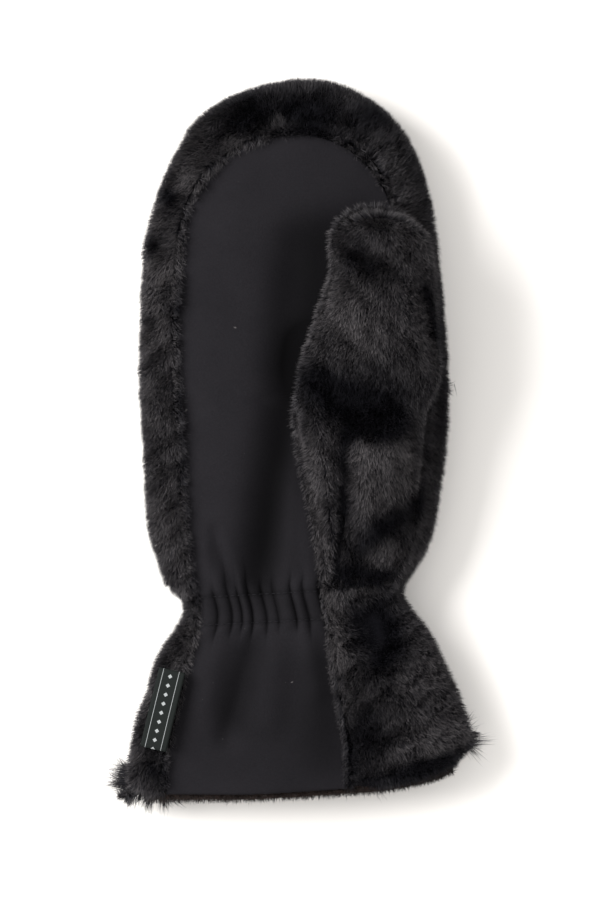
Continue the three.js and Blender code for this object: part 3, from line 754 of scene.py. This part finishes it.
    def build(
        self, material: bpy.types.Material, thread: bpy.types.Material, fur: bpy.types.Material
    ) -> None:
        """Builds the panel, its stitches and the strands that lean over its seam.

        Args:
            material: the cloth.
            thread: the stitches' thread.
            fur: the pile beside the panel.
        """
        tree = cad_tree("palm_panel")
        u = np.linspace(0, 1, self.columns)
        x, y = self.outline(tree, u)
        z = self.heights(tree, x, y)
        for fold in self.folds:
            z += fold.at(x, y)
        ribs, valleys = self.gathers(np.broadcast_to(u, x.shape), y)
        z += ribs
        uneven = waves(np.stack([x.ravel(), y.ravel(), z.ravel()], 1), 24, 5)[:, 0]
        z += 0.18 * uneven.reshape(x.shape)
        self.surface = [x, y, z]
        grid = self.skirted()
        high, wide = grid.shape[:2]
        index = np.arange(high * wide).reshape(high, wide)
        faces = np.stack([index[:-1, :-1], index[:-1, 1:], index[1:, 1:], index[1:, :-1]], 2)
        panel = mesh_object("palm_panel_cloth", grid.reshape(-1, 3), faces.reshape(-1, 4))
        panel.data.shade_smooth()
        # Painted shade: the cloth's colour darkens in the gathers' valleys and under each listed patch of
        # painted shade.
        painted_shade = np.ones((high, wide))
        painted_shade[len(HEM_ROLL) :, len(SKIRT) : -len(SKIRT)] -= valleys
        for fold in self.painted_shading:
            painted_shade += fold.at(grid[:, :, 0], grid[:, :, 1])
        keep_values(panel.data, "painted_shade", np.clip(painted_shade, 0, 1))
        finish_piece(panel, material)
        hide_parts("palm_panel")
        self.stitches(thread)
        self.fringe(fur)

    def heights(self, tree: BVHTree, x: np.ndarray, y: np.ndarray) -> np.ndarray:
        """Smoothed heights of the solid panel at a grid of places."""
        across = np.arange(x.min() - 4, x.max() + 4, self.step)
        along = np.arange(y.min() - 4, y.max() + 4, self.step)
        z = np.zeros((len(along), len(across)))
        for r, place_y in enumerate(along):
            for c, place_x in enumerate(across):
                hit = surface_under(tree, place_x, place_y)
                if hit is not None and hit.z > PANEL_FLOOR:
                    z[r, c] = hit.z
        known = (z > 0).astype(float)
        kernel = np.exp(-((np.arange(-6, 7) / 2.8) ** 2))
        for axis in (0, 1, 0, 1):
            z = np.apply_along_axis(np.convolve, axis, z, kernel, "same")
            known = np.apply_along_axis(np.convolve, axis, known, kernel, "same")
        z /= np.maximum(known, 1e-9)
        col, row = (x - across[0]) / self.step, (y - along[0]) / self.step
        c, r = col.astype(int), row.astype(int)
        col, row = col - c, row - r
        low = z[r, c] * (1 - col) + z[r, c + 1] * col
        high = z[r + 1, c] * (1 - col) + z[r + 1, c + 1] * col
        return low * (1 - row) + high * row

    def fringe(self, fur: bpy.types.Material) -> None:
        """Builds the strands of the pile that lean over the right seam of the cuff."""
        x, y, z = (side[:, -1] for side in self.surface)
        rng = np.random.default_rng(61)
        along = rng.uniform(y[0] + 2, -60, 1500)
        place = [np.interp(along, y, side) for side in (x, z)]
        points = np.stack([place[0] + rng.uniform(0.1, 1.6, len(along)), along, place[1] - 0.4], 1)
        normals = unit(np.tile([-0.1, -0.2, 1.0], (len(along), 1)))
        across, down = rng.normal(-0.75, 0.3, len(along)), rng.normal(-0.7, 0.25, len(along))
        nap = np.stack([across, down, 0 * along], 1)
        pile = Pile(length=2.9, lean=2.2, stray=0.2, seed=63)
        tone = np.clip(np.interp(along, (-130, -100, -84, -60), (0.2, 0.3, 0.5, 0.75)), 0, 1)
        finish_piece(grow("seam_fringe", Roots(points, normals), nap, pile, 1.0, tone), fur)

    def stitches(self, thread: bpy.types.Material) -> None:
        """Builds the two rows of stitches of the casing as one mesh."""
        x, y, z = self.surface
        points, faces = [], []
        for side in (-1, 1):
            path = []
            for c in range(x.shape[1]):
                u = c / (x.shape[1] - 1)
                goal = self.wrist + self.slant * u + side * self.casing / 2
                r = int(np.argmin(np.abs(y[:, c] - goal)))
                path.append((x[r, c], goal, z[r, c]))
            line = np.array(path)
            run = np.concatenate([[0], np.cumsum(np.linalg.norm(np.diff(line, axis=0), axis=1))])
            for start in np.arange(1.0, run[-1] - self.stitch, self.stitch * 1.45):
                steps = np.linspace(start, start + self.stitch, 6)
                spine = np.stack([np.interp(steps, run, line[:, k]) for k in range(3)], 1)
                arch = np.sin(np.linspace(0.15, 0.85, 6) * np.pi)
                first = len(points)
                for place, swell in zip(spine, arch):
                    for turn in np.arange(6) * math.pi / 3:
                        size = 0.2 * swell
                        up = size * math.sin(turn) + 0.12 * swell
                        points.append(place + np.array([0, size * math.cos(turn), up]))
                for i in range(5):
                    for k in range(6):
                        a, b = first + i * 6 + k, first + i * 6 + (k + 1) % 6
                        faces.append((a, b, b + 6, a + 6))
        made = mesh_object("wrist_stitches", np.array(points), np.array(faces))
        made.data.shade_smooth()
        finish_piece(made, thread)


@dataclass(frozen=True)
class Combed:
    """Direction of the nap at one place.

    Attributes:
        x: place across.
        y: place along.
        heading: direction in which the strands point, in degrees from +X.
    """

    x: float
    y: float
    heading: float


HAND_NAP = (
    Combed(-60, 100, 250), Combed(-66, 70, 262), Combed(-68, 20, 268), Combed(-66, -40, 275),
    Combed(-52, 100, 235), Combed(-40, 120, 225), Combed(-25, 130, 255), Combed(-5, 140, 95),
    Combed(15, 140, 80), Combed(35, 130, 60), Combed(50, 105, 40), Combed(60, 70, 290),
    Combed(-50, -60, 275), Combed(-55, -90, 260), Combed(-66, -125, 250), Combed(15, -60, 270),
    Combed(25, -75, 290), Combed(40, -80, 300), Combed(34, -108, 270), Combed(55, -100, 300),
    Combed(20, -100, 225), Combed(22, -122, 230),
    Combed(62, -118, 320), Combed(40, -128, 290), Combed(25, -132, 270),
)
THUMB_NAP = (
    Combed(30, 93, 262), Combed(16, 88, 255), Combed(46, 86, 272),
    Combed(30, 70, 262), Combed(20, 50, 262), Combed(45, 50, 275), Combed(15, 20, 262),
    Combed(45, 15, 268), Combed(30, 0, 268), Combed(12, -10, 272), Combed(35, -25, 262),
    Combed(50, -20, 250), Combed(20, -45, 250), Combed(45, -45, 240), Combed(10, -45, 275),
)
HAND_HOLLOWS = (
    Fold((28, -68), (38, -80), 8, -3.0), Fold((-56, 82), (-52, 79), 4, -1.5),
    Fold((-52, 98), (-50, 88), 5, -1.5), Fold((22, -133), (72, -117), 2.5, -1.2),
)
THUMB_HOLLOWS = (
    Fold((16, 20), (36, 12), 9, -1.6), Fold((20, 82), (29, 74), 5, -2.5),
    Fold((50, 64), (60, 26), 2.2, -1.2), Fold((21, -2), (16, -54), 2.4, -2.6),
    Fold((46, -26), (26, -42), 4.5, -1.5), Fold((18, -55), (42, -57), 4.5, -2.5),
)
# Painted highlights and painted shade on the hand's pile: a positive rise lightens it, a negative one
# darkens it, as in dents, creases and along the top rim.
HAND_PAINTED_SHADING = (
    Fold((-51, 100), (-46, 97), 3.5, -0.4), Fold((-57, 81), (-53, 78), 4.2, -0.34),
    Fold((-57, 94), (-53, 88), 3.5, 0.5), Fold((-56, 73), (-50, 66), 6, 0.45),
    Fold((-42, 110), (-44, 102), 5, 0.25), Fold((-57, 60), (-54, 42), 5, 0.25),
    Fold((-58, 51), (-55, 49), 3, -0.4), Fold((-58, 25), (-58, 5), 5, 0.1),
    Fold((-54, -20), (-52, -44), 6, 0.1), Fold((-26, 131), (36, 129), 11, -0.42),
    Fold((46, 116), (58, 92), 8, -0.3), Fold((26, -65), (40, -84), 12, -0.6),
    Fold((24, -110), (38, -118), 12, -0.36), Fold((46, -70), (70, -108), 6, 0.16),
    Fold((48, -114), (66, -112), 5, 0.2), Fold((13, -58), (19, -88), 3.2, 0.6),
    Fold((24, -137), (72, -122), 5, -0.46), Fold((57, 60), (60, 0), 6, -0.22),
    Fold((-56, -88), (-64, -112), 4, 0.2), Fold((-58, -128), (-46, -136), 6, -0.34),
    Fold((-42, 94), (-47, 54), 2.4, -0.3), Fold((-47, 54), (-45, -6), 2.4, -0.3),
    Fold((-45, -6), (-39, -66), 2.4, -0.3), Fold((-39, 97), (20, 108), 3, -0.2),
    Fold((-27, 121), (-18, 119), 3.5, 0.4), Fold((-8, 127), (-5, 127), 3, 0.35),
    Fold((14, -112), (22, -130), 5, -0.3), Fold((50, -122), (60, -119), 3, 0.3),
)
# Painted highlights and painted shade on the thumb's pile: shade in the crotch, the crease and the dents,
# highlights on its lit bulges.
THUMB_PAINTED_SHADING = (
    Fold((8, 25), (42, 11), 12, -0.6), Fold((24, 9), (38, 4), 6, -0.4), Fold((22, 76), (32, 68), 5, -0.34),
    Fold((16, 60), (30, 42), 11, 0.4), Fold((24, -3), (44, -3), 5, 0.75),
    Fold((26, -14), (46, -16), 8, 0.4), Fold((52, -18), (26, -40), 5.5, -0.5),
    Fold((20, -53), (40, -55), 7, -0.7), Fold((40, -38), (30, -46), 4, 0.35),
    Fold((50, 64), (60, 26), 2.4, -0.45), Fold((7, 4), (12, -52), 3.2, 0.2),
    Fold((21, 4), (19, -26), 3.6, -0.45), Fold((19, -26), (15.5, -54), 2.2, -0.5),
    Fold((16, 92), (42, 94), 4, -0.12), Fold((57, 20), (54, -40), 6, -0.22),
)


COVERING = ("fur_back", "fur_thumb", "palm_panel", "cuff_lining")  # nodes that can hide pile


@dataclass
class FurPart:
    """A fur node: its undercoat and the pieces of pile on it.

    Attributes:
        node: the solid model's node.
        reach: a surface closer than this in front of a place hides it.
        base: lightness of the pile away from its painted highlights and shade.
        raised: whether its underside stands clear of the other pieces and has pile too.
        coat: the undercoat.
        pile: how the pile grows.
        hollows: dents and ridges that the pile follows.
        combed: directions of the nap.
        painted_shading: patches of highlight and shade painted into the pile, lighter or darker.
    """

    node: str
    reach: float = 42.0
    base: float = 0.46
    raised: bool = False
    coat: Undercoat = Undercoat()
    pile: Pile = Pile()
    hollows: tuple[Fold, ...] = ()
    combed: tuple[Combed, ...] = ()
    painted_shading: tuple[Fold, ...] = ()

    def seen(self, roots: Roots) -> Roots:
        """The roots that lie on the outside, those at an edge turned upwards."""
        tree = cad_tree(*COVERING)
        own = cad_tree(self.node)
        keep = np.zeros(len(roots.points), dtype=bool)
        normals = roots.normals.copy()
        for i, (p, n) in enumerate(zip(roots.points, roots.normals)):
            top = surface_under(own, p[0], p[1])
            rise = min(1.0, (p[2] - SIDE_HEIGHT) / 9)
            depth = top.z - p[2] if top is not None else math.inf
            limit = 6 if n[2] < 0.3 else 16
            if rise > 0 and n[2] > -0.2 and depth < limit:
                keep[i] = True
                lift = rise * min(1.0, 1.6 * (1 - depth / limit))
                if n[2] > 0.6:
                    normals[i] = 0.6 * n + (0, 0, 0.4)
                else:
                    normals[i] = (1 - 0.5 * lift) * n + (0, 0, 0.7 * lift)
                continue
            place, _, _, gap = tree.ray_cast(Vector(p + n * 3.8), Vector(n), self.reach)
            if place is None:
                keep[i] = True
            elif self.raised and gap > 1.5:
                keep[i] = own.ray_cast(Vector(p + n), Vector(n), self.reach)[0] is None
        return Roots(roots.points, unit(normals)).where(keep)

    def inner(self, points: np.ndarray, normals: np.ndarray) -> np.ndarray:
        """Which places of the undercoat face into the hollow."""
        tree = cad_tree(*COVERING)
        found = np.zeros(len(points), dtype=bool)
        for i, (p, n) in enumerate(zip(points, normals)):
            hit = tree.ray_cast(Vector(p + n * 0.9), Vector(n), self.reach)
            found[i] = hit[0] is not None
        return found

    def nap(self, roots: Roots) -> np.ndarray:
        """Direction of the nap, blended between the combed places and kept along the backing."""
        marks = np.array([(c.x, c.y) for c in self.combed])
        turns = np.radians([c.heading for c in self.combed])
        off = roots.points[:, None, :2] - marks[None]
        weight = 1 / ((off**2).sum(2) + 9.0) ** 1.5
        down = np.zeros_like(roots.points)
        down[:, 0] = weight @ np.cos(turns)
        down[:, 1] = weight @ np.sin(turns)
        down = unit(down)
        down[:, 2] = -0.15
        along = (down * roots.normals).sum(1)[:, None]
        return unit(down - roots.normals * along)

    def tone(self, roots: Roots) -> np.ndarray:
        """Lightness of the pile: its base with painted highlights and painted shade added, and a little
        random tone.
        """
        x, y = roots.points[:, 0], roots.points[:, 1]
        sum_of = np.full(len(x), self.base)
        # Painted highlights and painted shade, each a soft patch of lighter or darker pile.
        for shading_fold in self.painted_shading:
            sum_of += shading_fold.at(x, y)
        return np.clip(sum_of + 0.06 * waves(roots.points, 17, self.pile.seed + 40)[:, 0], 0.02, 1)

    def press(self, coat: bpy.types.Object) -> None:
        """Moves the undercoat by the part's hollows, on its upper side only."""
        mesh = coat.data
        place, up = vertex_data(mesh, "co"), vertex_data(mesh, "normal")[:, 2]
        outer = np.empty(len(mesh.vertices), dtype=np.float32)
        mesh.attributes["outer"].data.foreach_get("value", outer)
        lift = np.zeros(len(place))
        for fold in self.hollows:
            lift += fold.at(place[:, 0] / MM, place[:, 1] / MM)
        place[:, 2] += lift * np.clip(up * 1.5, 0, 1) * outer * MM
        mesh.vertices.foreach_set("co", place.ravel())
        mesh.update()

    def build(
        self, under: bpy.types.Material, fur: bpy.types.Material, zones: dict[Zone, float]
    ) -> None:
        """Builds the undercoat and the pile.

        Args:
            under: finish of the undercoat.
            fur: finish of the pile.
            zones: each zone's share of the pile's density.
        """
        coat = self.coat.build(self.node, self.inner)
        self.press(coat)
        coat.data.shade_smooth()
        finish_piece(coat, under)
        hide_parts(self.node)
        for zone, share in zones.items():
            roots = scatter(coat, self.pile.density * share, self.pile.seed)
            roots = self.seen(roots.where(self.in_zone(zone, roots)))
            name = f"{self.node}_{zone.value}_pile"
            made = grow(name, roots, self.nap(roots), self.pile, tone=self.tone(roots))
            finish_piece(made, fur)

    @staticmethod
    def in_zone(zone: Zone, roots: Roots) -> np.ndarray:
        """Which roots belong to a zone."""
        y, z, up = roots.points[:, 1], roots.points[:, 2], roots.normals[:, 2]
        below = (up < -0.35) & (z < 11)
        if zone is Zone.UNDER:
            return below
        if zone is Zone.TIP:
            return ~below & (y > 55)
        if zone is Zone.CUFF:
            return ~below & (y <= -62)
        return ~below & (y > -62) & (y <= 55)


@dataclass
class CuffLining:
    """The plush lining's rolled edge at the mouth of the cuff.

    Attributes:
        pile: its short fuzz.
    """

    pile: Pile = Pile(length=2.6, width=0.3, density=5.0, lean=0.3, stray=0.5, seed=31)

    def build(self, material: bpy.types.Material, fuzz: bpy.types.Material) -> None:
        """Builds the lining and the fuzz on its edge."""
        made = copy_of("cuff_lining", "cuff_lining_plush")
        made.data.shade_smooth()
        finish_piece(made, material)
        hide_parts("cuff_lining")
        roots = scatter(made, self.pile.density, self.pile.seed)
        edge = roots.where(roots.points[:, 1] < -126)
        down = np.tile([0.0, -1.0, -0.1], (len(edge.points), 1))
        finish_piece(grow("cuff_lining_fuzz", edge, down, self.pile), fuzz)


@dataclass
class SideLabel:
    """The folded label in the left seam of the cuff.

    Attributes:
        columns: mesh columns across it.
        rows: mesh rows along it.
        thickness: thickness of both layers.
        lift: how far it lies on top of the solid label.
    """

    columns: int = 14
    rows: int = 34
    thickness: float = 0.7
    lift: float = 0.5

    def build(self, material: bpy.types.Material) -> None:
        """Builds the label with its UV in millimetres."""
        tree = cad_tree("side_label")
        box = [np.array(v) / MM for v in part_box("side_label")]
        ys = np.linspace(box[0][1] + 0.3, box[1][1] - 0.3, self.rows)
        edges = np.array([edge_hits(tree, y, box[0][0] - 1, box[1][0] + 1, 0.1) for y in ys])
        fit = [np.polyfit(ys, edges[:, k], 2) for k in (0, 1)]
        left, right = (np.polyval(f, ys) for f in fit)
        v = np.linspace(0, 1, self.columns)
        x = left[:, None] + (right - left)[:, None] * v
        y = np.broadcast_to(ys[:, None], x.shape) + (v - 0.5) * -2.4
        z = np.zeros(x.shape)
        for r in range(self.rows):
            inside = np.clip(x[r], left[r] + 0.5, right[r] - 0.5)
            for c in range(self.columns):
                place = surface_under(tree, inside[c], ys[r])
                z[r, c] = place.z if place is not None else z[r, c - 1]
        plane = np.stack([np.ones(z.size), x.ravel(), y.ravel(), x.ravel() ** 2, y.ravel() ** 2], 1)
        z = (plane @ np.linalg.lstsq(plane, z.ravel(), rcond=None)[0]).reshape(z.shape) + self.lift
        top = np.stack([x, y, z], 2)
        bottom = top.copy()
        bottom[:, :, 2] -= self.thickness
        ring = np.concatenate([top, bottom[:, ::-1]], 1)
        wide = ring.shape[1]
        index = np.arange(self.rows * wide).reshape(self.rows, wide)
        after = np.roll(index, -1, axis=1)
        sides = np.stack([index[:-1], after[:-1], after[1:], index[1:]], 2).reshape(-1, 4)
        caps = []
        for row, flip in ((0, True), (self.rows - 1, False)):
            for c in range(self.columns - 1):
                quad = [row * wide + k for k in (c, c + 1, wide - 2 - c, wide - 1 - c)]
                caps.append(quad[::-1] if flip else quad)
        faces = np.concatenate([sides, np.array(caps)])
        made = mesh_object("side_label_tape", ring.reshape(-1, 3), faces)
        layer = made.data.uv_layers.new(name="label")
        span = float(right.mean() - left.mean())
        across = np.concatenate([v, v[::-1]]) * span
        uv = np.stack([np.repeat(ys - ys[0], wide), np.tile(across, self.rows)], 1)
        loops = np.empty(len(made.data.loops), dtype=np.int32)
        made.data.loops.foreach_get("vertex_index", loops)
        layer.data.foreach_set("uv", uv[loops].astype(np.float32).ravel())
        made.data.shade_smooth()
        finish_piece(made, material)
        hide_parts("side_label")


@dataclass(frozen=True)
class Tuft:
    """A spray of long hairs.

    Attributes:
        x: place across.
        y: place along.
        z: height.
        heading: direction in degrees from +X.
        spread: opening of the spray in degrees.
        length: length of its hairs.
        count: number of hairs.
    """

    x: float
    y: float
    z: float
    heading: float
    spread: float
    length: float
    count: int


@dataclass
class Tufts:
    """The long hairs at the corners of the hem and at the side seam."""

    sprays: tuple[Tuft, ...] = (
        Tuft(-66, -131, 13, 150, 80, 12, 260),
        Tuft(-67, -135, 12, 190, 80, 12, 320),
        Tuft(-64, -138, 11, 225, 80, 11, 320),
        Tuft(-58, -140, 10, 258, 70, 10, 260),
        Tuft(-52, -141, 10, 290, 60, 8, 180),
        Tuft(-47, -141, 10, 320, 40, 6, 80),
        Tuft(21, -135, 14, 258, 60, 9.5, 160),
        Tuft(31, -133, 18, 320, 50, 12.5, 140),
        Tuft(68, -119, 15, 350, 90, 12, 260),
        Tuft(66, -113, 15, 55, 70, 9.5, 140),
        Tuft(61, 22, 17, 345, 90, 6.5, 60),
    )

    def build(self, material: bpy.types.Material) -> None:
        """Builds all sprays as one piece, each gathered into locks."""
        rng = np.random.default_rng(77)
        points, heads = [], []
        for spray in self.sprays:
            locks = rng.uniform(-0.5, 0.5, (max(6, spray.count // 13), 3))
            for lock in locks[rng.integers(0, len(locks), spray.count)]:
                turn = math.radians(spray.heading + spray.spread * lock[0] + rng.normal(0, 4.5))
                run = np.array([math.cos(turn), math.sin(turn), 0.4 * lock[1] + rng.normal(0, 0.07)])
                foot = np.array([spray.x, spray.y, spray.z + 7 * lock[2]])
                points.append(foot - run * 1.5 + rng.normal(0, 1.1, 3))
                heads.append((*run, spray.length * rng.uniform(0.55, 0.95) * (1 + 0.4 * lock[2])))
        data = np.array(heads)
        roots = Roots(np.array(points), unit(data[:, :3]))
        pile = Pile(length=1.0, width=0.28, lean=0.1, stray=0.02, lock=30, seed=9)
        made = grow("corner_tufts", roots, roots.normals, pile, data[:, 3], 0.2)
        finish_piece(made, material)


@dataclass
class Studio:
    """Floor, soft light from the upper left and the camera straight above.

    Attributes:
        middle: the view's centre, x and y.
        height: height of the camera.
        tall: length of the view along Y.
    """

    middle: tuple[float, float] = (2.0, -2.4)
    height: float = 4200.0
    tall: float = 360.0

    def area(self, name: str, place: Sequence[float], size: float, power: float) -> None:
        """Adds a square soft light that faces the mitten."""
        lamp = bpy.data.lights.new(name, "AREA")
        lamp.energy = power
        lamp.size = size * MM
        made = bpy.data.objects.new(name, lamp)
        made.location = Vector(place) * MM
        made.rotation_mode = "QUATERNION"
        made.rotation_quaternion = (-Vector(place)).to_track_quat("-Z", "Y")
        bpy.context.scene.collection.objects.link(made)

    def build(self) -> None:
        """Sets up floor, light and camera."""
        bpy.ops.mesh.primitive_plane_add(size=8)
        floor = bpy.context.object
        floor.name = "floor"
        floor.data.transform(((1, 0, 0, 0), (0, 1, 0, 0), (0, 0, 1, -0.0002), (0, 0, 0, 1)))
        paper = Finish("paper", (0.875, 0.845, 0.81), 0.8)
        floor.data.materials.append(paper.build())
        world = bpy.data.worlds.new("studio")
        world.use_nodes = True
        world.node_tree.nodes["Background"].inputs["Color"].default_value = (1, 1, 1, 1)
        world.node_tree.nodes["Background"].inputs["Strength"].default_value = 1.08
        bpy.context.scene.world = world
        self.area("key", (-1450, 450, 1080), 1300, 70)
        camera = bpy.data.cameras.new("camera")
        camera.lens = 36 * self.height / self.tall
        camera.clip_end = 20
        seat = bpy.data.objects.new("camera", camera)
        seat.location = Vector((self.middle[0], self.middle[1], self.height)) * MM
        bpy.context.scene.collection.objects.link(seat)
        bpy.context.scene.camera = seat


def main() -> None:
    """Builds every piece."""
    bpy.context.scene.view_settings.view_transform = "Standard"
    cloth = Softshell("softshell", (0.0084, 0.0078, 0.0091), 0.85, 0.03).build()
    thread = Finish("thread", (0.011, 0.0105, 0.0122), 0.8, 0.05).build()
    fur = Strands("fur_pile", (0.0088, 0.0086, 0.0112), 0.5, 0.16).build()
    under = Finish("fur_undercoat", (0.0036, 0.0035, 0.0046), 0.95, 0.04).build()
    plush = Finish("plush", (0.03, 0.021, 0.018), 0.95, 0.1).build()
    fuzz = Strands("plush_fuzz", (0.012, 0.009, 0.008), 0.6, 0.2, (0.05, 0.038, 0.034)).build()
    tape = Woven("label_tape", (0.0068, 0.0084, 0.0078), 0.7, 0.06).build()
    PalmPanel().build(cloth, thread, fur)
    FurPart("fur_back", hollows=HAND_HOLLOWS, combed=HAND_NAP, painted_shading=HAND_PAINTED_SHADING).build(
        under, fur, {Zone.HAND: 1.0, Zone.TIP: 1.0, Zone.CUFF: 1.0, Zone.UNDER: 0.3}
    )
    FurPart(
        "fur_thumb",
        raised=True,
        pile=Pile(seed=5),
        hollows=THUMB_HOLLOWS,
        combed=THUMB_NAP,
        painted_shading=THUMB_PAINTED_SHADING,
    ).build(under, fur, {Zone.HAND: 1.0, Zone.TIP: 1.0})
    CuffLining().build(plush, fuzz)
    SideLabel().build(tape)
    Tufts().build(fur)
    Studio().build()


if __name__ == "__main__":
    main()
